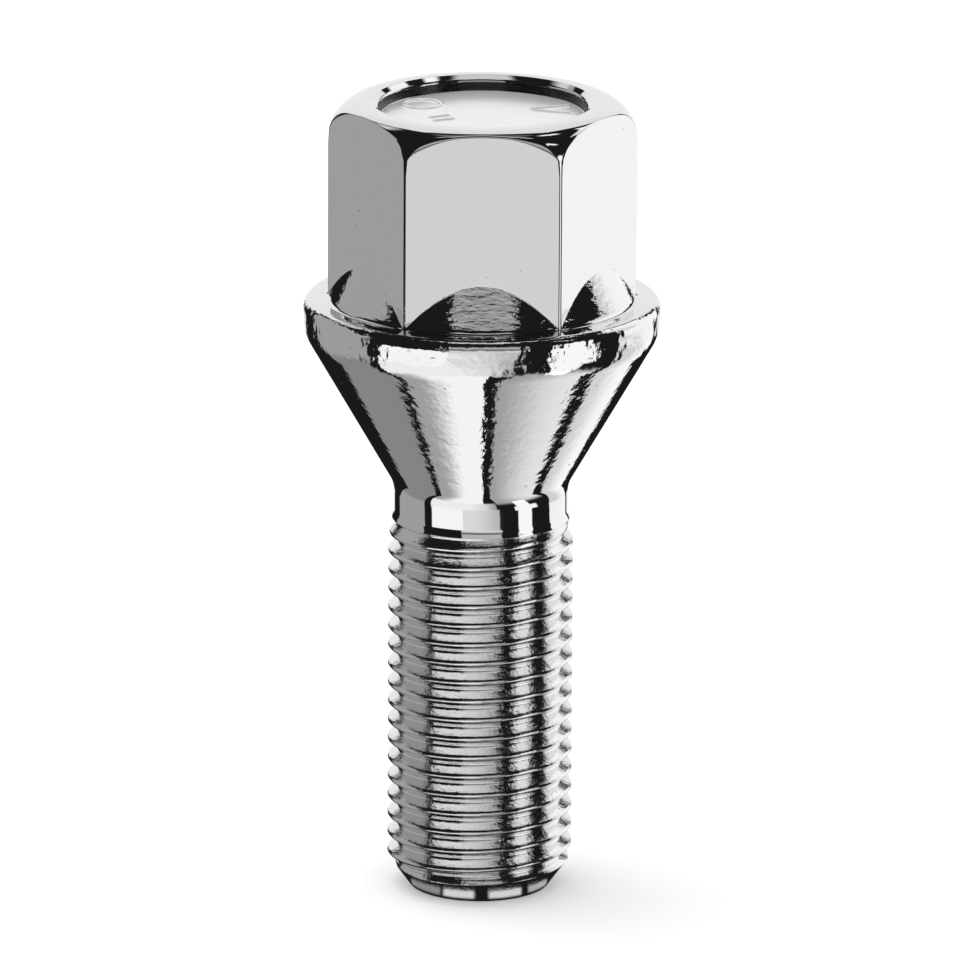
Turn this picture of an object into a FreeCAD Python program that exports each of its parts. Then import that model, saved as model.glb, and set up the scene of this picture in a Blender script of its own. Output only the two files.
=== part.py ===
import FreeCAD, Part
import math
import os

from FreeCAD import Vector

# Wheel bolt, forged from one blank: a hexagon head with a shallow round recess, a collar
# with a rounded rim, a cone that centres the wheel, a plain neck and a shank. Millimetres.
# The flat end of the tip stands on z = 0, the axis is +Z with the head on top, and one
# flat of the hexagon faces -Y. The shank is as thick as the crests of its fine thread,
# which is rolled into it over the length between the point and the run-out.

# Lengths along the axis
SHANK_LENGTH = 26.7             # tip to the foot of the cone
NECK_LENGTH = 2.35              # plain part of the shank, next to the cone
RUNOUT_LENGTH = 1.45            # the thread's crests fall to the neck over this length
RIM_HEIGHT = 2.3                # collar, from the top of the cone to the ledge
HEAD_HEIGHT = 12.7              # from the ledge to the top

# Shank
CREST_D = 11.85                 # over the crests: nominal 12 less the usual allowance
NECK_D = 11.1
TIP_FLAT_D = 8.9
TIP_ANGLE = 36.0                # slope of the point, measured from the axis

# Cone and collar
CONE_ANGLE = 60.0               # included angle
NECK_FILLET_R = 2.0
RIM_FOOT_R = 0.35
RIM_TAPER = 0.12                # the rim is this much smaller at its foot, on the radius
RIM_EDGE_R = 0.65
LEDGE_WIDTH = 1.6               # from the foot of the head to the rim, on the radius
LEDGE_FALL = 0.1                # the ledge drops this much on the way out

# Head
HEX_AF = 17.0                   # across flats
HEX_CORNER_R = 0.8
SHOULDER_R = 2.25               # rounding between the top and the corners
SHOULDER_CLEAR = 0.06           # it starts this far outside the rounded corners
FOOT_RISE = 2.75                # top of the arch on each flat, above the ledge
FOOT_ANGLE = 25.0               # slope of the foot under the flats, measured from the axis

# Recess in the top
RECESS_D = 14.1
RECESS_DEPTH = 1.0
RECESS_DRAFT = 0.07             # the wall leans out this much, on the radius
RECESS_CHAMFER = 0.58           # width of the chamfer round the mouth
RECESS_CHAMFER_DEPTH = 0.39

# Worked out from the sizes above
CREST_R = CREST_D / 2
NECK_R = NECK_D / 2
TIP_R = TIP_FLAT_D / 2
TIP_Z = (CREST_R - TIP_R) / math.tan(math.radians(TIP_ANGLE))
NECK_Z = SHANK_LENGTH - NECK_LENGTH
FLAT_R = HEX_AF / 2
CORNER_R = FLAT_R + (FLAT_R - HEX_CORNER_R) * (1 / math.cos(math.pi / 6) - 1)
FOOT_SLOPE = math.tan(math.radians(FOOT_ANGLE))
FOOT_R = FLAT_R + FOOT_RISE * FOOT_SLOPE
RIM_R = FOOT_R + LEDGE_WIDTH
RIM_FOOT_Z = SHANK_LENGTH + (RIM_R - RIM_TAPER - NECK_R) / math.tan(math.radians(CONE_ANGLE / 2))
LEDGE_Z = RIM_FOOT_Z + RIM_HEIGHT
TOP_Z = LEDGE_Z + HEAD_HEIGHT


def rounded(corners):
    """Closed wire through corners, each given as (point, radius), as arcs and lines.

    An arc touches both sides of its corner at radius / tan(half the angle) from it, and
    its middle lies on the bisector, at radius / sin(half the angle) - radius.
    """
    bends, edges, count = [], [], len(corners)
    for i, (corner, radius) in enumerate(corners):
        before = (corners[i - 1][0] - corner).normalize()
        after = (corners[(i + 1) % count][0] - corner).normalize()
        half = before.getAngle(after) / 2
        reach = radius / math.tan(half)
        middle = corner + (before + after).normalize() * (radius / math.sin(half) - radius)
        bends.append((corner + before * reach, middle, corner + after * reach, radius))
    for i, (enter, middle, leave, radius) in enumerate(bends):
        if radius > 0:
            edges.append(Part.Arc(enter, middle, leave).toShape())
        edges.append(Part.LineSegment(leave, bends[(i + 1) % count][0]).toShape())
    return Part.Wire(edges)


def turned(section):
    """Solid of revolution about the axis, from rows of (radius, height, corner radius)."""
    outline = rounded([(Vector(r, 0, z), corner) for r, z, corner in section])
    return Part.Face(outline).revolve(Vector(0, 0, 0), Vector(0, 0, 1), 360)


def shank_and_collar():
    """Everything below the hexagon, with the sloping foot that rises into its flats."""
    core_r = FLAT_R - FOOT_RISE * FOOT_SLOPE / 2
    core_z = LEDGE_Z + 1.5 * FOOT_RISE
    return turned([
        (0, 0, 0),
        (TIP_R, 0, 0),
        (CREST_R, TIP_Z, 0),
        (CREST_R, NECK_Z - RUNOUT_LENGTH, 0),
        (NECK_R, NECK_Z, 0),
        (NECK_R, SHANK_LENGTH, NECK_FILLET_R),
        (RIM_R - RIM_TAPER, RIM_FOOT_Z, RIM_FOOT_R),
        (RIM_R, LEDGE_Z - LEDGE_FALL, RIM_EDGE_R),
        (FOOT_R, LEDGE_Z, 0),
        (core_r, core_z, 0),
        (0, core_z, 0),
    ])


def hexagon():
    """Hexagon with rounded corners, inside a turned outline that rounds its top."""
    tip = FLAT_R / math.cos(math.pi / 6)
    angles = [math.radians(60 * k) for k in range(6)]
    corners = [(Vector(tip * math.cos(a), tip * math.sin(a), RIM_FOOT_Z), HEX_CORNER_R) for a in angles]
    prism = Part.Face(rounded(corners)).extrude(Vector(0, 0, TOP_Z - RIM_FOOT_Z))
    outside = CORNER_R + SHOULDER_CLEAR
    return prism.common(turned([
        (0, RIM_FOOT_Z, 0),
        (outside, RIM_FOOT_Z, 0),
        (outside, TOP_Z, SHOULDER_R),
        (0, TOP_Z, 0),
    ]))


def recess():
    """Shallow round recess with a chamfered mouth, a drafted wall and a flat floor."""
    mouth = RECESS_D / 2
    wall = mouth - RECESS_CHAMFER
    above = TOP_Z + RECESS_DEPTH
    return turned([
        (0, TOP_Z - RECESS_DEPTH, 0),
        (wall - RECESS_DRAFT, TOP_Z - RECESS_DEPTH, 0),
        (wall, TOP_Z - RECESS_CHAMFER_DEPTH, 0),
        (mouth, TOP_Z, 0),
        (mouth, above, 0),
        (0, above, 0),
    ])


def wheel_bolt():
    """The whole bolt as one solid."""
    return shank_and_collar().fuse(hexagon()).cut(recess()).removeSplitter()


os.makedirs("parts", exist_ok=True)
wheel_bolt().Solids[0].exportStep("parts/wheel_bolt.step")
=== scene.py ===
"""Chrome plated wheel bolt, standing on its tip on a pale floor.

The bolt is one closed surface: a grid of upright columns, each a line that runs from the
middle of the recess over the head, down the outside and under the tip to its middle.
Sizes are in millimetres until the mesh is made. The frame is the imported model's: the tip
stands on z = 0, the axis is +Z, and one flat of the hexagon faces -Y.
"""
import math

import bpy
import numpy as np
from mathutils import Matrix, Vector


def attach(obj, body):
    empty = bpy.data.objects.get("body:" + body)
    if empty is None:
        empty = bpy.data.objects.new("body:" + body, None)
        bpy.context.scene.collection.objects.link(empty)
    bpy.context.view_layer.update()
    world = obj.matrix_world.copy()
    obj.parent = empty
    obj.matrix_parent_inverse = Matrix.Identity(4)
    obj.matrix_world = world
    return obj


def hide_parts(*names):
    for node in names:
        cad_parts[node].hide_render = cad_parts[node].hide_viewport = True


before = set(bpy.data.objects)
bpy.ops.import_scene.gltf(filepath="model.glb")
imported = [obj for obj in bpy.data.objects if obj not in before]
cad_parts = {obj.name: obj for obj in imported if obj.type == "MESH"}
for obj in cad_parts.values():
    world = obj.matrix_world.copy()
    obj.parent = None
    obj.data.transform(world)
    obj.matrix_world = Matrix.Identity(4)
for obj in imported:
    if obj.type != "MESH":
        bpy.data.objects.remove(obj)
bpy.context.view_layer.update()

MM = 0.001
TAU = 2 * math.pi

# Lengths along the axis
SHANK_LENGTH = 26.7
NECK_FOOT_Z = 24.35
NECK_FLARE = 0.16               # the neck's foot spreads this far, over this height
NECK_FLARE_HEIGHT = 0.45
NECK_FLARE_R = 0.8
RIM_HEIGHT = 2.3
HEAD_HEIGHT = 12.7

# Shank and thread
CREST_R = 5.925
CREST_ROUNDING = 0.42
CREST_CUT = 0.24                # the rounding takes this much off a sharp crest
ROOT_R = 5.233
ROOT_ROUNDING = 0.14
NECK_R = 5.55
GROOVE_R = 5.45                 # the thread ends in a ring this thick, under the neck
TIP_R = 4.45
TIP_EDGE_R = 0.18
TIP_ANGLE = 36.0                # slope of the point, measured from the axis
PITCH = 1.25
CREST_Z = 0.335                 # height of a crest's middle on the +X side
RUNOUT = 1.1                    # the thread fades over this length, under the neck
POINT_Z = 0.9                   # below this the point is a plain cone

# Cone and collar
CONE_ANGLE = 60.0
NECK_FILLET_R = 2.0
RIM_FOOT_R = 2.6                # the rim rolls over into the cone
RIM_TAPER = 0.12
RIM_EDGE_R = 0.65
LEDGE_WIDTH = 1.6
LEDGE_FALL = 0.1

# Head
FLAT_R = 8.5
HEX_CORNER_R = 0.34             # rounding of the upright edges
TOP_CORNER_R = 1.25             # it grows to this at the shoulder
TOP_CORNER_RISE = (48.6, 51.2)  # between these heights
SOLID_CORNER_R = 0.8            # the solid's rounding, from which the shoulder is set out
SHOULDER_R = 2.25
SHOULDER_CLEAR = 0.06
SHOULDER_EDGE_R = 0.2           # where the shoulder meets the middle of a flat
SHOULDER_CORNER_R = 0.95        # and where it meets an upright edge
SHOULDER_GROWTH = (0.05, 1.0)   # it grows between these distances outside a flat's middle
FOOT_RISE = 2.75
FOOT_ANGLE = 25.0
CREASE_R = 0.35
FOOT_FILLET_R = 0.55

# Recess in the top
RECESS_R = 7.05
RECESS_DEPTH = 0.97
RECESS_FLOOR_R = 6.5
RECESS_CHAMFER = 0.45
RECESS_CHAMFER_DEPTH = 0.27
RECESS_EDGE_R = 0.14
RECESS_CHAMFER_EDGE_R = 0.22
MARK_HEIGHT = 0.12              # plain raised marks on its floor

# Worked out from the sizes above
FOOT_SLOPE = math.tan(math.radians(FOOT_ANGLE))
FOOT_R = FLAT_R + FOOT_RISE * FOOT_SLOPE
RIM_R = FOOT_R + LEDGE_WIDTH
CONE_SLOPE = math.tan(math.radians(CONE_ANGLE / 2))
RIM_FOOT_Z = SHANK_LENGTH + (RIM_R - RIM_TAPER - NECK_R) / CONE_SLOPE
LEDGE_Z = RIM_FOOT_Z + RIM_HEIGHT
TOP_Z = LEDGE_Z + HEAD_HEIGHT
TIP_SLOPE = math.tan(math.radians(TIP_ANGLE))
RECESS_FLOOR_Z = TOP_Z - RECESS_DEPTH
CORNER_R = FLAT_R / math.cos(math.pi / 6) - SOLID_CORNER_R * (1 / math.cos(math.pi / 6) - 1)
RING_R = CORNER_R + SHOULDER_CLEAR - SHOULDER_R


# Shape of the bolt

def column_angles(flat_steps=27, corner_steps=4):
    """Angles of the columns, from a corner of the hexagon at 0 once round.

    Round a corner they take equal turns about the corner arc's own middle: angle =
    atan2(r sin t, middle + r cos t). Across a flat they draw together towards its ends:
    share = t - 0.62 x sin(full turn x t) / full turn.
    """
    middle = (FLAT_R - HEX_CORNER_R) / math.cos(math.pi / 6)
    turn = np.linspace(0, math.pi / 6, corner_steps + 1)
    arc = np.arctan2(HEX_CORNER_R * np.sin(turn), middle + HEX_CORNER_R * np.cos(turn))
    t = np.linspace(0, 1, flat_steps + 1)
    flat = arc[-1] + (math.pi / 3 - 2 * arc[-1]) * (t - 0.62 * np.sin(TAU * t) / TAU)
    sector = np.concatenate([arc[:-1], flat, math.pi / 3 - arc[-2:0:-1]])
    angles = (sector[None, :] + np.arange(6)[:, None] * math.pi / 3).ravel()
    return np.append(angles, TAU)


def hexagon_radius(angle, rounding=HEX_CORNER_R):
    """Distance from the axis to the rounded hexagon.

    Off a corner by d it is middle cos d + sqrt(r^2 - (middle sin d)^2) on the corner's
    arc, and flat / cos(30 degrees - d) on the flat beside it.
    """
    off = np.abs((angle + math.pi / 6) % (math.pi / 3) - math.pi / 6)
    middle = (FLAT_R - rounding) / math.cos(math.pi / 6)
    side = middle * np.sin(off)
    arc = middle * np.cos(off) + np.sqrt(np.maximum(rounding ** 2 - side ** 2, 0))
    flat = FLAT_R / np.cos(math.pi / 6 - off)
    start = math.pi / 6 - np.arctan((FLAT_R - rounding) * math.tan(math.pi / 6) / FLAT_R)
    return np.where(off < start, arc, flat)


def eased(t):
    """Smooth step 3t^2 - 2t^3 of t held between 0 and 1."""
    t = np.clip(t, 0, 1)
    return t * t * (3 - 2 * t)


def corner_rounding(height):
    """Rounding of the upright edges at a height: it eases from HEX_CORNER_R to TOP_CORNER_R."""
    low, high = TOP_CORNER_RISE
    return HEX_CORNER_R + (TOP_CORNER_R - HEX_CORNER_R) * eased((height - low) / (high - low))


def wall_rows(angle, top, foot, steps):
    """Rows down the hexagon from its top edge to its foot, closer together near the top.

    Their share of the way down is 0.35 t + 0.65 t^3, and t takes equal steps.
    """
    rows = []
    for t in np.linspace(0, 1, steps + 1)[1:]:
        height = top + (foot - top) * (0.35 * t + 0.65 * t ** 3)
        rows.append(np.stack([hexagon_radius(angle, corner_rounding(height)), height], -1))
    return np.array(rows)


def rounded_rows(corners, columns):
    """Rows of points down a line of corners, each corner rounded by an arc.

    A corner is (radius from the axis, height, rounding radius, steps), and the first three
    may change from column to column. The arc leaves both lines at rounding / tan(half the
    corner's angle) from the corner, less where two arcs would meet on a short line. Its
    points turn evenly about its middle. A last value adds that many rows on the line to
    the next corner.
    """
    given = np.array([[np.broadcast_to(value, columns) for value in corner[:3]] for corner in corners], float)
    place = given[:, :2].transpose(0, 2, 1)
    rounding = given[:, 2]
    line = np.diff(place, axis=0)
    length = np.linalg.norm(line, axis=-1)
    way = line / np.maximum(length, 1e-9)[..., None]
    inside = np.arccos(np.clip(-(way[:-1] * way[1:]).sum(-1), -1, 1))
    reach = np.zeros(rounding.shape)
    reach[1:-1] = rounding[1:-1] / np.tan(inside / 2)
    share = np.minimum(0.96 * length / np.maximum(reach[:-1] + reach[1:], 1e-9), 1)
    reach[1:-1] *= np.minimum(share[:-1], share[1:])
    rows = []
    for k, corner in enumerate(corners):
        here = place[k]
        if 0 < k < len(corners) - 1 and corner[3] > 0:
            back, on = -way[k - 1], way[k]
            enter, leave = here + back * reach[k][:, None], here + on * reach[k][:, None]
            middle_way = (back + on) / np.linalg.norm(back + on, axis=-1, keepdims=True)
            middle = here + middle_way * (reach[k] / np.cos(inside[k - 1] / 2))[:, None]
            turn = math.pi - inside[k - 1]
            for t in np.linspace(0, 1, corner[3] + 1):
                first = (np.sin((1 - t) * turn) / np.sin(turn))[:, None]
                second = (np.sin(t * turn) / np.sin(turn))[:, None]
                rows.append(middle + (enter - middle) * first + (leave - middle) * second)
            here = leave
        else:
            rows.append(here)
        if len(corner) > 4:
            following = place[k + 1] - way[k] * reach[k + 1][:, None]
            rows += [here + (following - here) * t for t in np.linspace(0, 1, corner[4] + 2)[1:-1]]
    return np.array(rows)


def shoulder_rows(angle, steps=12, edge_steps=7):
    """Rows over the rounded top edge of the head, and the edge where it meets the hexagon.

    The turned shoulder is an arc of SHOULDER_R about a ring, cut off at the hexagon by a
    small arc that touches both: its middle is one small radius inside the hexagon, and
    SHOULDER_R less that radius from the shoulder's middle. The small radius grows towards
    the corners. The hexagon's rounding is the one at the height where the small arc ends,
    found by repeating.
    """
    ring_z = TOP_Z - SHOULDER_R
    near, far = SHOULDER_GROWTH
    side = hexagon_radius(angle, TOP_CORNER_R)
    for _ in range(30):
        grown = eased((side - FLAT_R - near) / (far - near))
        small = SHOULDER_EDGE_R + (SHOULDER_CORNER_R - SHOULDER_EDGE_R) * grown
        across = side - small - RING_R
        up = np.sqrt((SHOULDER_R - small) ** 2 - across ** 2)
        side = 0.5 * side + 0.5 * hexagon_radius(angle, corner_rounding(ring_z + up))
    across = side - small - RING_R
    up = np.sqrt((SHOULDER_R - small) ** 2 - across ** 2)
    meet = np.arctan2(up, across)
    rows = []
    for t in np.linspace(0, 1, steps + 1):
        turn = math.pi / 2 + (meet - math.pi / 2) * t
        rows.append(np.stack([RING_R + SHOULDER_R * np.cos(turn), ring_z + SHOULDER_R * np.sin(turn)], -1))
    for t in np.linspace(0, 1, edge_steps + 1)[1:]:
        turn = meet * (1 - t)
        out, rise = across + small * np.cos(turn), up + small * np.sin(turn)
        rows.append(np.stack([RING_R + out, ring_z + rise], -1))
    return np.array(rows)


def smaller(a, b, blend):
    """The smaller of two lengths, rounded where they cross: less (blend - gap)^2 / 4 blend."""
    near = np.maximum(blend - np.abs(a - b), 0)
    return np.minimum(a, b) - near ** 2 / (4 * blend)


def thread_radius(turn, height):
    """Radius of the threaded shank, at a share of the pitch above a crest and a height.

    A 60 degree thread: the flanks fall 1 in tan 30 from the crest to the root, with both
    rounded. Under the neck it fades to a ring, and the point cuts it to a cone.
    """
    off = np.abs(turn - np.round(turn)) * PITCH
    flank = CREST_R + CREST_CUT - off / math.tan(math.pi / 6)
    ridge = smaller(flank, CREST_R + 0.02 + 0 * off, CREST_ROUNDING)
    ridge = -smaller(-ridge, -ROOT_R + 0 * off, ROOT_ROUNDING)
    fade = 0.3 + 0.7 * eased((NECK_FOOT_Z - height - 0.15) / RUNOUT)
    ridge = GROOVE_R + (ridge - GROOVE_R) * fade * eased((NECK_FOOT_Z - height) / 0.2)
    return smaller(ridge, TIP_R + height * TIP_SLOPE, 0.1)


def thread_rows(angle):
    """Rows that follow the helix: height = crest + (row + angle / full turn) x pitch.

    Rows are close together on the crests and roots and far apart on the flanks. Where the
    helix leaves the threaded length, above or below, they are held at its end.
    """
    off = np.array([0, .055, .1, .145, .36, .41, .455])
    share = np.concatenate([off, [0.5], 1 - off[:0:-1]])
    first = math.floor((POINT_Z - CREST_Z) / PITCH) - 2
    last = math.ceil((NECK_FOOT_Z - CREST_Z) / PITCH) + 1
    row = (np.arange(first, last)[:, None] + share[None, :]).ravel()[::-1]
    height = CREST_Z + (row[:, None] + angle[None, :] / TAU) * PITCH
    turn = np.broadcast_to(row[:, None], height.shape)
    held = np.clip(height, POINT_Z, NECK_FOOT_Z)
    turn = turn + (held - height) / PITCH
    return np.stack([thread_radius(turn, held), held], -1)


def bolt_rows(angle):
    """All rows of the bolt from the middle of the recess to the middle of the tip."""
    columns = len(angle)
    side = hexagon_radius(angle)
    recess = rounded_rows([
        (0.0, RECESS_FLOOR_Z, 0, 0, 6),
        (RECESS_FLOOR_R, RECESS_FLOOR_Z, RECESS_EDGE_R, 6, 2),
        (RECESS_R - RECESS_CHAMFER, TOP_Z - RECESS_CHAMFER_DEPTH, RECESS_CHAMFER_EDGE_R, 7, 1),
        (RECESS_R, TOP_Z, RECESS_EDGE_R, 5, 1),
        (RING_R, TOP_Z, 0, 0),
    ], columns)
    shoulder = shoulder_rows(angle)
    foot_z = LEDGE_Z + np.maximum(FOOT_R - side, 0.02) / FOOT_SLOPE
    wall_foot_z = foot_z + 0.12
    wall = wall_rows(angle, shoulder[-1, :, 1], wall_foot_z, 20)
    collar = rounded_rows([
        (side, wall_foot_z, 0, 0),
        (side, foot_z, CREASE_R, 5, 3),
        (FOOT_R, LEDGE_Z, FOOT_FILLET_R, 7, 2),
        (RIM_R, LEDGE_Z - LEDGE_FALL, RIM_EDGE_R, 9, 2),
        (RIM_R - RIM_TAPER, RIM_FOOT_Z, RIM_FOOT_R, 10, 8),
        (NECK_R, SHANK_LENGTH, NECK_FILLET_R, 8, 2),
        (NECK_R, NECK_FOOT_Z + NECK_FLARE_HEIGHT, NECK_FLARE_R, 6, 1),
        (NECK_R + NECK_FLARE, NECK_FOOT_Z + 0.04, 0.06, 4),
        (GROOVE_R, NECK_FOOT_Z, 0, 0),
    ], columns)
    thread = thread_rows(angle)
    tip = rounded_rows([
        (TIP_R + POINT_Z * TIP_SLOPE, POINT_Z, 0, 0, 2),
        (TIP_R, 0.0, TIP_EDGE_R, 6, 3),
        (0.0, 0.0, 0, 0),
    ], columns)
    return np.concatenate([recess[:-1], shoulder, wall, collar[1:-1], thread, tip[1:]])


def welded(points, faces):
    """Points and triangles with the points that fall together made one, less empty triangles."""
    points, back = np.unique(np.round(points, 5), axis=0, return_inverse=True)
    faces = back.reshape(-1)[faces]
    kept = (faces[:, 0] != faces[:, 1]) & (faces[:, 1] != faces[:, 2]) & (faces[:, 2] != faces[:, 0])
    return points, faces[kept]


def closed_mesh(name, rows, angle):
    """Mesh of a grid of (radius, height) rows and column angles, as a welded closed skin.

    Points are radius x (cos angle, sin angle) and height. Each four-sided cell is two
    triangles, points that fall together are made one, and empty triangles are dropped.
    Normals are the mean of the faces around a point, weighted by their areas, so flats
    stay flat right up to their rounded edges.
    """
    count, columns = rows.shape[:2]
    points = np.stack([rows[..., 0] * np.cos(angle), rows[..., 0] * np.sin(angle), rows[..., 1]], -1)
    index = np.arange(count * columns).reshape(count, columns)
    a, b, c, d = index[:-1, :-1], index[:-1, 1:], index[1:, 1:], index[1:, :-1]
    faces = np.concatenate([np.stack([a, d, c], -1).reshape(-1, 3), np.stack([a, c, b], -1).reshape(-1, 3)])
    points, faces = welded(points.reshape(-1, 3), faces)
    cross = np.cross(points[faces[:, 1]] - points[faces[:, 0]], points[faces[:, 2]] - points[faces[:, 0]])
    normals = np.zeros(points.shape)
    for corner in range(3):
        np.add.at(normals, faces[:, corner], cross)
    normals /= np.linalg.norm(normals, axis=1, keepdims=True)
    mesh = bpy.data.meshes.new(name)
    mesh.vertices.add(len(points))
    mesh.vertices.foreach_set("co", (points * MM).ravel().astype(np.float32))
    mesh.loops.add(faces.size)
    mesh.loops.foreach_set("vertex_index", faces.ravel().astype(np.int32))
    mesh.polygons.add(len(faces))
    mesh.polygons.foreach_set("loop_start", np.arange(0, faces.size, 3, dtype=np.int32))
    mesh.update(calc_edges=True)
    mesh.validate()
    mesh.shade_smooth()
    mesh.normals_split_custom_set_from_vertices(normals.tolist())
    return mesh


def relief_mesh(name, pieces):
    """Mesh of low closed ridges that lie on the recess floor.

    A piece is (x, y, half length, half width, turn in degrees, ring radius). With a ring
    radius it is a ring: distance = ring + width cos v. Without one it is a bar with round
    ends: (+-length + width cos v cos u, width cos v sin u). Their tops rise by height x
    cos^2 of a quarter turn x cos v, and their undersides lie just under the floor.
    """
    points, faces = [], []
    base = RECESS_FLOOR_Z - 0.001
    for x, y, length, width, turned, ring in pieces:
        around = np.linspace(0, TAU, 49)[:-1]
        across = np.linspace(0, TAU, 29)[:-1] if ring else np.linspace(-math.pi / 2, math.pi / 2, 17)
        u, v = np.meshgrid(around, across)
        if ring:
            along, aside = (ring + width * np.cos(v)) * np.cos(u), (ring + width * np.cos(v)) * np.sin(u)
        else:
            along = length * np.tanh(6 * np.cos(u)) * (np.cos(v) > 1e-6) + width * np.cos(v) * np.cos(u)
            aside = width * np.cos(v) * np.sin(u)
        rise = np.where(np.sin(v) > 0, MARK_HEIGHT * np.cos(math.pi / 2 * np.cos(v)) ** 2, 0.02 * np.sin(v))
        way = math.radians(turned)
        first = sum(len(block) for block in points)
        points.append(np.stack([x + along * math.cos(way) - aside * math.sin(way),
                                y + along * math.sin(way) + aside * math.cos(way),
                                base + rise], -1).reshape(-1, 3))
        index = first + np.arange(u.size).reshape(u.shape)
        index = np.concatenate([index, index[:, :1]], 1)
        if ring:
            index = np.concatenate([index, index[:1]], 0)
        a, b, c, d = index[:-1, :-1], index[:-1, 1:], index[1:, 1:], index[1:, :-1]
        faces += [np.stack([a, b, c], -1).reshape(-1, 3), np.stack([a, c, d], -1).reshape(-1, 3)]
    points, faces = welded(np.concatenate(points), np.concatenate(faces))
    mesh = bpy.data.meshes.new(name)
    mesh.from_pydata((points * MM).tolist(), [], faces.tolist())
    mesh.shade_smooth()
    return mesh


# Plating

def add(tree, kind, **settings):
    """New node of a kind, with its settings."""
    node = tree.nodes.new(kind)
    for key, value in settings.items():
        setattr(node, key, value)
    return node


def feed(tree, socket, value):
    """Link value to socket if it is an output, or else set it there."""
    if isinstance(value, bpy.types.NodeSocket):
        tree.links.new(value, socket)
    else:
        socket.default_value = value


def calc(tree, operation, *values):
    """Output of a Math node."""
    node = add(tree, "ShaderNodeMath", operation=operation)
    for socket, value in zip(node.inputs, values):
        feed(tree, socket, value)
    return node.outputs[0]


def times(tree, first, second):
    """Product of two values."""
    return calc(tree, "MULTIPLY", first, second)


def distance(tree, x, y):
    """Distance from the axis: sqrt(x^2 + y^2)."""
    return calc(tree, "SQRT", calc(tree, "ADD", times(tree, x, x), times(tree, y, y)))


def ramp(tree, value, start, end, low=0.0, high=1.0):
    """Smooth step from low to high as value goes from start to end."""
    node = add(tree, "ShaderNodeMapRange", interpolation_type="SMOOTHSTEP")
    given = {"Value": value, "From Min": start, "From Max": end, "To Min": low, "To Max": high}
    for name, each in given.items():
        feed(tree, node.inputs[name], each)
    return node.outputs["Result"]


def new_group(name, inputs, output):
    """Empty shader node group with float inputs (name: default) and one float output."""
    tree = bpy.data.node_groups.new(name, "ShaderNodeTree")
    for key, default in inputs.items():
        socket = tree.interface.new_socket(key, in_out="INPUT", socket_type="NodeSocketFloat")
        socket.default_value = default
    tree.interface.new_socket(output, in_out="OUTPUT", socket_type="NodeSocketFloat")
    return tree, add(tree, "NodeGroupInput").outputs, add(tree, "NodeGroupOutput").inputs


def forged_skin():
    """Height, in about -1 to 1, of a rolling forged skin under plating, in Object space."""
    defaults = {"Wave mm": 0.3, "Squash": 1, "Detail": 2, "Roughness": 0.5}
    tree, given, made = new_group("forged_skin", defaults, "Height")
    place = add(tree, "ShaderNodeVectorMath", operation="SCALE")
    tree.links.new(add(tree, "ShaderNodeTexCoord").outputs["Object"], place.inputs[0])
    feed(tree, place.inputs["Scale"], calc(tree, "DIVIDE", 1000.0, given["Wave mm"]))
    parts = add(tree, "ShaderNodeSeparateXYZ")
    tree.links.new(place.outputs[0], parts.inputs[0])
    joined = add(tree, "ShaderNodeCombineXYZ")
    tree.links.new(parts.outputs["X"], joined.inputs["X"])
    tree.links.new(parts.outputs["Y"], joined.inputs["Y"])
    tree.links.new(times(tree, parts.outputs["Z"], given["Squash"]), joined.inputs["Z"])
    noise = add(tree, "ShaderNodeTexNoise", noise_dimensions="3D")
    noise.inputs["Scale"].default_value = 1.0
    tree.links.new(joined.outputs[0], noise.inputs["Vector"])
    feed(tree, noise.inputs["Detail"], given["Detail"])
    feed(tree, noise.inputs["Roughness"], given["Roughness"])
    tree.links.new(calc(tree, "MULTIPLY_ADD", noise.outputs["Fac"], 2.0, -1.0), made["Height"])
    return tree


SKIN = forged_skin()
PIT_SPACING = 1.7
PIT_R = 0.12
PIT_DEPTH = 0.018


def skin(tree, wave, squash=1.0, detail=2.0, roughness=0.5):
    """Height output of one forged skin."""
    node = add(tree, "ShaderNodeGroup", node_tree=SKIN)
    for socket, value in zip(node.inputs, (wave, squash, detail, roughness)):
        socket.default_value = value
    return node.outputs[0]


def pitted(tree, spacing, radius):
    """1 in a few small round pits, 0 between them: most cells of the spacing hold none."""
    place = add(tree, "ShaderNodeTexCoord").outputs["Object"]
    cells = add(tree, "ShaderNodeTexVoronoi", voronoi_dimensions="3D", feature="F1")
    tree.links.new(place, cells.inputs["Vector"])
    cells.inputs["Scale"].default_value = 1000.0 / spacing
    return ramp(tree, cells.outputs["Distance"], 0.0, radius / spacing, 1.0, 0.0)


def band(tree, height, low, high, edge):
    """1 between two heights, easing to 0 over edge beyond them."""
    up = ramp(tree, height, low - edge, low + edge)
    down = ramp(tree, height, high - edge, high + edge, 1.0, 0.0)
    return times(tree, up, down)


def layered(tree, base, *parts):
    """Sum of base and amount x mask for each (mask, amount)."""
    total = base
    for mask, amount in parts:
        total = calc(tree, "MULTIPLY_ADD", mask, amount, total)
    return total


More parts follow.
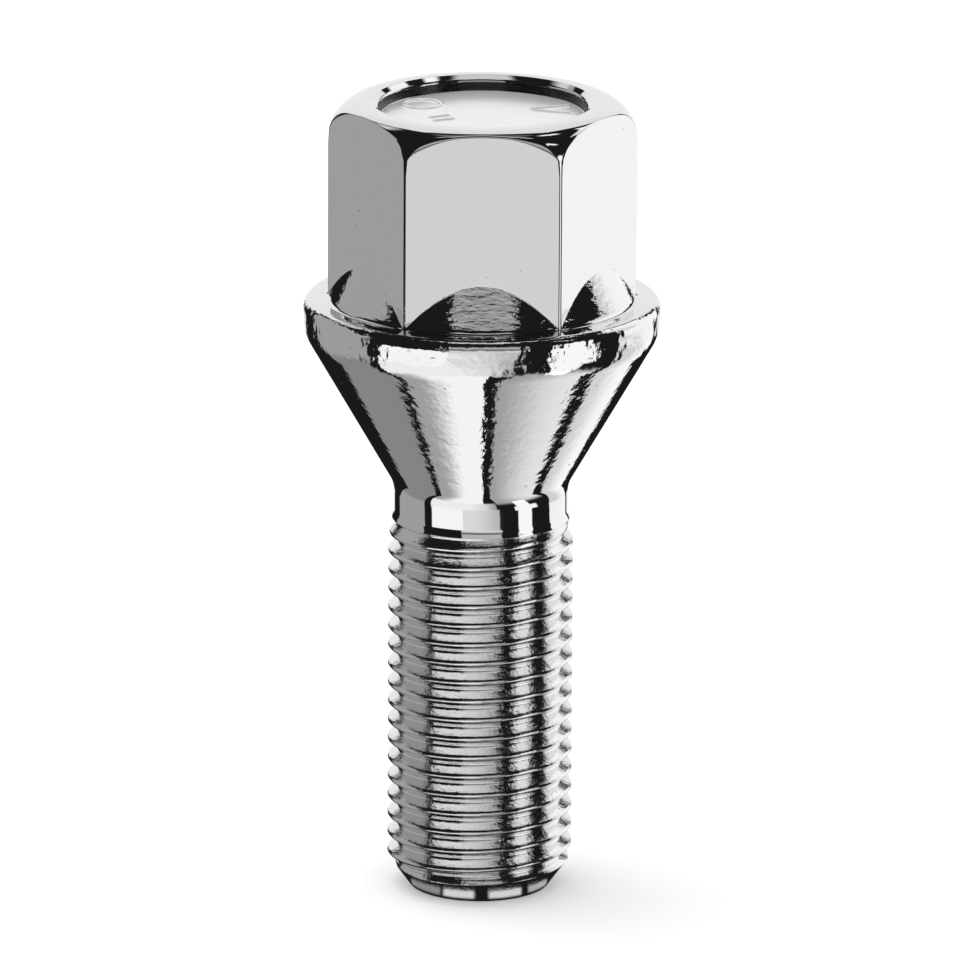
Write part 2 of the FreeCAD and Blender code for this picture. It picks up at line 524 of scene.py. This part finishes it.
def plating_zones(tree):
    """Masks of the zones where the plating has a skin of its own, by height and distance."""
    parts = add(tree, "ShaderNodeSeparateXYZ")
    tree.links.new(add(tree, "ShaderNodeTexCoord").outputs["Object"], parts.inputs[0])
    x, y, z = (times(tree, parts.outputs[axis], 1000.0) for axis in "XYZ")
    away = distance(tree, x, y)
    thread = ramp(tree, z, NECK_FOOT_Z - 0.1, NECK_FOOT_Z + 0.1, 1.0, 0.0)
    cone = band(tree, z, SHANK_LENGTH + 1.0, RIM_FOOT_Z, 0.5)
    rim = times(tree, band(tree, z, RIM_FOOT_Z, LEDGE_Z + 0.2, 0.2),
                ramp(tree, away, RIM_R - 1.2, RIM_R - 0.8))
    foot_line = FOOT_R + LEDGE_Z * FOOT_SLOPE
    slope = calc(tree, "MULTIPLY_ADD", z, FOOT_SLOPE, away)
    foot = times(tree, band(tree, z, LEDGE_Z + 0.15, LEDGE_Z + FOOT_RISE + 0.1, 0.15),
                 band(tree, slope, foot_line - 0.07, foot_line + 0.07, 0.03))
    # This mask also darkens the recess wall's colour in chrome(), as painted shade in the recess.
    wall = times(tree, band(tree, z, RECESS_FLOOR_Z + 0.04, TOP_Z - RECESS_CHAMFER_DEPTH - 0.13, 0.03),
                 band(tree, away, RECESS_FLOOR_R - 0.08, RECESS_R - 0.2, 0.05))
    satin = times(tree, band(tree, z, RECESS_FLOOR_Z - 0.14, RECESS_FLOOR_Z + 0.14, 0.01),
                  ramp(tree, away, RECESS_FLOOR_R - 0.1, RECESS_FLOOR_R, 1.0, 0.0))
    return thread, cone, rim, foot, wall, satin


def chrome():
    """Bright chrome plating over forged steel.

    The plating follows the steel: nearly smooth on the flats and the neck, an orange peel
    with shallow dents on the cone, coarser on the rim, streaked on the foot of the head and
    scuffed along the thread, with a few small pits all over. It is rougher on the recess
    wall, whose colour is darkened nearly to black as painted shade in the recess, and satin
    on the recess floor. Heights are in millimetres.
    """
    material = bpy.data.materials.new("chrome_plating")
    material.use_nodes = True
    tree = material.node_tree
    shader = tree.nodes["Principled BSDF"]
    thread, cone, rim, foot, wall, satin = plating_zones(tree)

    # Each skin with its height all over and what each zone adds to it
    skins = [
        (skin(tree, 0.3, detail=2.5), 0.0002,
         [(cone, 0.0038), (rim, 0.006), (thread, 0.006), (wall, 0.006), (satin, 0.0015)]),
        (skin(tree, 0.75, detail=1.0), 0.0004, [(cone, 0.007), (rim, 0.024), (thread, 0.006)]),
        (skin(tree, 0.2, squash=1.6, detail=3.0, roughness=0.6), 0.0, [(thread, 0.006)]),
        (skin(tree, 0.9, squash=3.0, detail=3.0), 0.0, [(foot, 0.02)]),
    ]
    height = times(tree, pitted(tree, PIT_SPACING, PIT_R), -PIT_DEPTH)
    for each, everywhere, zones in skins:
        height = calc(tree, "MULTIPLY_ADD", each, layered(tree, everywhere, *zones), height)
    bump = add(tree, "ShaderNodeBump")
    bump.inputs["Strength"].default_value = 1.0
    bump.inputs["Distance"].default_value = MM
    tree.links.new(height, bump.inputs["Height"])
    tree.links.new(bump.outputs[0], shader.inputs["Normal"])

    roughness = layered(tree, 0.03, (thread, 0.01), (wall, 0.15), (satin, 0.2))
    tree.links.new(roughness, shader.inputs["Roughness"])
    # Painted shade: the recess wall's colour is darkened from 0.78 to 0.08, standing in for the shade inside
    # the recess.
    painted_wall_shade = add(tree, "ShaderNodeMix", data_type="RGBA")
    painted_wall_shade.inputs["A"].default_value = (0.78, 0.78, 0.78, 1)
    painted_wall_shade.inputs["B"].default_value = (0.08, 0.08, 0.08, 1)
    tree.links.new(wall, painted_wall_shade.inputs["Factor"])
    tree.links.new(painted_wall_shade.outputs["Result"], shader.inputs["Base Color"])
    tree.links.new(layered(tree, 1.0, (satin, -0.5)), shader.inputs["Metallic"])
    return material


columns = column_angles()
PLATING = chrome()
bolt_mesh = closed_mesh("plated_wheel_bolt", bolt_rows(columns), columns)
marks_mesh = relief_mesh("recess_marks", [
    # a ring, a pair of bars and a chevron
    (-3.85, 2.9, 0, 0.3, 0, 1.2),
    (-2.75, -0.35, 0.6, 0.26, 25, 0),
    (-2.45, -1.2, 0.6, 0.26, 25, 0),
    (4.25, 2.25, 1.2, 0.26, 20, 0),
    (4.45, 1.0, 1.3, 0.26, -19, 0),
])
bolt = bpy.data.objects.new("plated_wheel_bolt", bolt_mesh)
marks = bpy.data.objects.new("recess_marks", marks_mesh)
for thing in (bolt, marks):
    bpy.context.scene.collection.objects.link(thing)
    thing.data.materials.append(PLATING)
    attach(thing, "root")
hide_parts("wheel_bolt")


# Floor, light and camera

def studio_card():
    """Mask of one card: azimuths from Start to End, which lean with height, between two heights."""
    defaults = {
        "Azimuth": 0, "Height": 0, "Start": 0, "End": 10, "Lowest": -90, "Highest": 90,
        "Start Edge": 1, "End Edge": 1, "Low Edge": 1, "High Edge": 1, "Start Lean": 0, "End Lean": 0}
    tree, given, made = new_group("studio_card", defaults, "Mask")
    middle = times(tree, calc(tree, "ADD", given["Start"], given["End"]), 0.5)
    along = calc(tree, "WRAP", calc(tree, "SUBTRACT", given["Azimuth"], middle), 180.0, -180.0)
    mask = 1.0
    for side, sense in (("Start", 1.0), ("End", -1.0)):
        edge = calc(tree, "SUBTRACT", given[side], middle)
        edge = calc(tree, "MULTIPLY_ADD", given["Height"], given[side + " Lean"], edge)
        past = times(tree, calc(tree, "SUBTRACT", along, edge), sense)
        width = given[side + " Edge"]
        mask = times(tree, mask, ramp(tree, past, times(tree, width, -1.0), width))
    for side, name, sense in (("Lowest", "Low Edge", 1.0), ("Highest", "High Edge", -1.0)):
        past = times(tree, calc(tree, "SUBTRACT", given["Height"], given[side]), sense)
        width = given[name]
        mask = times(tree, mask, ramp(tree, past, times(tree, width, -1.0), width))
    tree.links.new(mask, made["Mask"])
    return tree


CARD = studio_card()


def card(start, end, lowest, highest, tone, edge=0.8, rise=1.5, lean=0.0):
    """One card and its tone. Edge, rise and lean may each be a pair: start and end, or low and high."""
    pairs = [value if isinstance(value, tuple) else (value, value) for value in (edge, rise, lean)]
    return (start, end, lowest, highest, *pairs[0], *pairs[1], *pairs[2]), tone


def cards(tree, azimuth, height, base, listed):
    """Sum of base and every card's tone x mask."""
    total = base
    for values, tone in listed:
        node = add(tree, "ShaderNodeGroup", node_tree=CARD)
        for socket, value in zip(node.inputs, (azimuth, height, *values)):
            feed(tree, socket, value)
        total = calc(tree, "MULTIPLY_ADD", node.outputs[0], tone, total)
    return total


# Cards round the bolt that its plating reflects: from azimuth, to azimuth (-Y is -90),
# lowest and highest elevation in degrees, tone where 1 is white. Dark gaps lie between.
STUDIO_CARDS = [
    # left and back
    card(135, 172, 28, 37, 0.41, rise=(1, 2), lean=(-0.42, 0)),
    card(112, 130, 37, 47, 0.41, edge=2, rise=2),
    card(135, 190, -8, 28, 0.41, rise=(3, 1), lean=(-0.42, 0)),
    card(117, 129, 40, 50, 0.35, edge=2, rise=2),
    card(135, 195.8, -30, -8, 0.41, rise=(4, 3), lean=(0.08, 0.38)),
    card(135, 195.8, -66, -30, 0.28, rise=(2, 4), lean=(0.08, 0.38)),
    card(67, 108, -17, 1, 0.95, rise=0.5),
    card(65, 117, 1, 27, 0.95, rise=(0.5, 0.8)),
    card(68, 111, 27, 54, 0.9, rise=(0.8, 1.5)),
    card(62, 118, 61, 70, 0.14, rise=1),
    card(46.5, 54.5, 56.5, 63, 1.2),
    # left of the front
    card(-151, -113.5, -24, -15.1, 1.15, rise=(3, 0.2), lean=(0.444, 0)),
    card(-151, -97, -50, -24, 1.05, edge=(0.8, 8), rise=(3, 3), lean=(0.444, 0)),
    card(-151, -86, -90, -50, 0.42, rise=(1, 3), lean=(0.444, 0)),
    card(-150, -86, -90, -50, 0.72, edge=(20, 0.8), rise=(1, 3)),
    # front
    card(-113.5, -65, -24, -15.1, 0.55, rise=(3, 0.2)),
    card(-113.5, -80, -24, -15.1, 0.32, edge=(0.8, 22), rise=(3, 0.2)),
    card(-97, -68, -50, -24, 0.4, edge=(8, 0.8), rise=3),
    card(-97, -78, -50, -24, 0.5, edge=(8, 10), rise=3),
    card(-115, -62, -15.1, 1, 0.79, rise=(0.2, 1.5)),
    card(-115, -62, 1, 20, 0.2, rise=1.5),
    card(-115, -62, 20, 30, 0.55, rise=1.5),
    card(-114.5, -61, 30, 40.5, 0.36, rise=1.5),
    # right of the front
    card(-66, 16.5, -90, -46, 0.42, rise=(1, 7)),
    card(-22, 16.5, -90, -46, 0.55, edge=(40, 0.8), rise=(1, 7)),
    card(-39, -18, -50, -30, 1.18, rise=2),
    card(-43, -8, -30, -17.5, 1.18, edge=(0.8, 2), rise=(2, 0.4)),
    card(-39, -18, -17.5, 22, 1.18, rise=(0.4, 2)),
    card(-15, -9, 50, 58, 1.1),
    # right
    card(14, 60, -18, 12, 1.12, rise=(3, 1)),
    card(5.6, 60, -50, -18, 0.78, rise=(1, 3), lean=(-0.46, 0)),
    card(42, 60, -50, -18, 0.36, edge=(12, 0.8), rise=(1, 3)),
    card(28, 60, -90, -50, 0.7, rise=1),
    card(42, 60, -90, -50, 0.4, edge=(12, 1), rise=1),
    card(12.5, 56.5, 12, 28, 0.72, rise=1, lean=(0.1, 0)),
    card(28, 56.5, 12, 28, 0.4, edge=(14, 1), rise=1),
    card(12.5, 63, 28, 46, 0.72, rise=1, lean=(0.1, -0.05)),
    card(28, 63, 28, 46, 0.4, edge=(14, 1), rise=1, lean=(0, -0.05)),
    # overhead
    card(30, 140, 70, 100, 0.72, rise=2),
    card(140, 210, 79, 100, 0.72),
    card(210, 330, 87, 100, 0.72),
    card(330, 390, 79, 100, 0.72),
]
# Painted reflection for the tip: patches that glow on the floor right round it, seen only by rays off the
# plating, by azimuth and distance in millimetres; between them it glows dark
TIP_REFLECTION_GLOW = [
    card(-163, -124.5, 4.64, 5.12, 0.3, edge=2, rise=0.1),
    card(-121, -94, 4.64, 5.12, 0.8, edge=2, rise=0.1),
    card(-81.5, -52, 4.64, 5.12, 0.8, edge=2, rise=0.1),
    card(-44, -16, 4.64, 5.12, 0.5, edge=2, rise=0.1),
]
TIP_REACH = 7.5
GAP_TONE = 0.012


def mixed(tree, share, first, second):
    """Mix Shader node of two shader nodes."""
    mix = add(tree, "ShaderNodeMixShader")
    feed(tree, mix.inputs[0], share)
    tree.links.new(first.outputs[0], mix.inputs[1])
    tree.links.new(second.outputs[0], mix.inputs[2])
    return mix


def azimuth_of(tree, vector):
    """Azimuth in degrees of a vector socket, and its separated parts."""
    parts = add(tree, "ShaderNodeSeparateXYZ")
    tree.links.new(vector, parts.inputs[0])
    angle = calc(tree, "ARCTAN2", parts.outputs["Y"], parts.outputs["X"])
    return calc(tree, "DEGREES", angle), parts.outputs


def studio_world():
    """White all round, for the camera and for diffuse light. The plating sees the cards."""
    world = bpy.data.worlds.new("studio")
    world.use_nodes = True
    tree = world.node_tree
    tree.nodes.clear()
    azimuth, parts = azimuth_of(tree, add(tree, "ShaderNodeTexCoord").outputs["Generated"])
    height = calc(tree, "DEGREES", calc(tree, "ARCSINE", parts["Z"]))
    seen = add(tree, "ShaderNodeBackground")
    feed(tree, seen.inputs["Color"], cards(tree, azimuth, height, GAP_TONE, STUDIO_CARDS))
    plain = add(tree, "ShaderNodeBackground")
    plain.inputs["Color"].default_value = (1, 1, 1, 1)
    path = add(tree, "ShaderNodeLightPath")
    whole = mixed(tree, path.outputs["Is Glossy Ray"], plain, seen)
    tree.links.new(whole.outputs[0], add(tree, "ShaderNodeOutputWorld").inputs[0])
    bpy.context.scene.world = world


def floor():
    """Pale floor, a square of 4 metres, that keeps the bolt's shadow.

    The plating sees through it to the cards, but for a small patch round the tip that glows for the plating
    alone: a painted reflection, dark with a few lighter patches.
    """
    half = 2.0
    corners = [(-half, -half, 0), (half, -half, 0), (half, half, 0), (-half, half, 0)]
    mesh = bpy.data.meshes.new("floor")
    mesh.from_pydata(corners, [], [(0, 1, 2, 3)])
    material = bpy.data.materials.new("pale_floor")
    material.use_nodes = True
    tree = material.node_tree
    tree.nodes.clear()
    azimuth, parts = azimuth_of(tree, add(tree, "ShaderNodeTexCoord").outputs["Object"])
    away = times(tree, distance(tree, parts["X"], parts["Y"]), 1000.0)
    # Painted reflection: the patch round the tip glows, for rays off the plating only.
    near = add(tree, "ShaderNodeEmission")
    feed(tree, near.inputs["Color"], cards(tree, azimuth, away, GAP_TONE, TIP_REFLECTION_GLOW))
    path = add(tree, "ShaderNodeLightPath")
    clear = add(tree, "ShaderNodeBsdfTransparent")
    seen = mixed(tree, ramp(tree, away, TIP_REACH - 0.3, TIP_REACH + 0.3), near, clear)
    diffuse = add(tree, "ShaderNodeBsdfDiffuse")
    diffuse.inputs["Color"].default_value = (0.8, 0.8, 0.8, 1)
    glow = add(tree, "ShaderNodeEmission")
    feed(tree, glow.inputs["Strength"], times(tree, path.outputs["Is Camera Ray"], 0.2))
    both = add(tree, "ShaderNodeAddShader")
    tree.links.new(diffuse.outputs[0], both.inputs[0])
    tree.links.new(glow.outputs[0], both.inputs[1])
    whole = mixed(tree, path.outputs["Is Glossy Ray"], both, seen)
    tree.links.new(whole.outputs[0], add(tree, "ShaderNodeOutputMaterial").inputs[0])
    mesh.materials.append(material)
    thing = bpy.data.objects.new("floor", mesh)
    bpy.context.scene.collection.objects.link(thing)
    return thing


LAMP_PLACE = Vector((-0.2, 0.12, 0.55))


def lamp():
    """Wide soft lamp above and behind on the left, aimed at the tip, for the floor's shadow.

    The plating doesn't show it, but the cards.
    """
    data = bpy.data.lights.new("soft_lamp", "AREA")
    data.shape = "DISK"
    data.size = 0.5
    data.energy = 1.2
    thing = bpy.data.objects.new("soft_lamp", data)
    bpy.context.scene.collection.objects.link(thing)
    aim = (-LAMP_PLACE).to_track_quat("-Z", "Y").to_matrix().to_4x4()
    thing.matrix_world = Matrix.Translation(LAMP_PLACE) @ aim
    thing.visible_glossy = False
    return thing


floor()
lamp()
studio_world()

CAMERA_DISTANCE = 0.720         # from the axis at CAMERA_AIM_Z
CAMERA_RISE = math.radians(15.85)
CAMERA_ROLL = math.radians(0.3)
CAMERA_AIM_Z = 0.025
CAMERA_LOOK = Vector((-0.000064, 0, 0.02674))


def camera():
    """Long lens at the photograph's angle: 15.85 degrees above the floor, 0.72 m away."""
    data = bpy.data.cameras.new("camera")
    data.sensor_width = 36.0
    data.lens = 423.9
    data.clip_start, data.clip_end = 0.01, 20
    thing = bpy.data.objects.new("camera", data)
    bpy.context.scene.collection.objects.link(thing)
    place = Vector((0, -math.cos(CAMERA_RISE), math.sin(CAMERA_RISE))) * CAMERA_DISTANCE
    place.z += CAMERA_AIM_Z
    ahead = (CAMERA_LOOK - place).normalized()
    level = ahead.cross(Vector((0, 0, 1))).normalized()
    over = level.cross(ahead)
    right = level * math.cos(CAMERA_ROLL) + over * math.sin(CAMERA_ROLL)
    up = over * math.cos(CAMERA_ROLL) - level * math.sin(CAMERA_ROLL)
    turn = Matrix((right, up, -ahead)).transposed().to_4x4()
    thing.matrix_world = Matrix.Translation(place) @ turn
    bpy.context.scene.camera = thing


camera()
bpy.context.scene.view_settings.view_transform = "Standard"
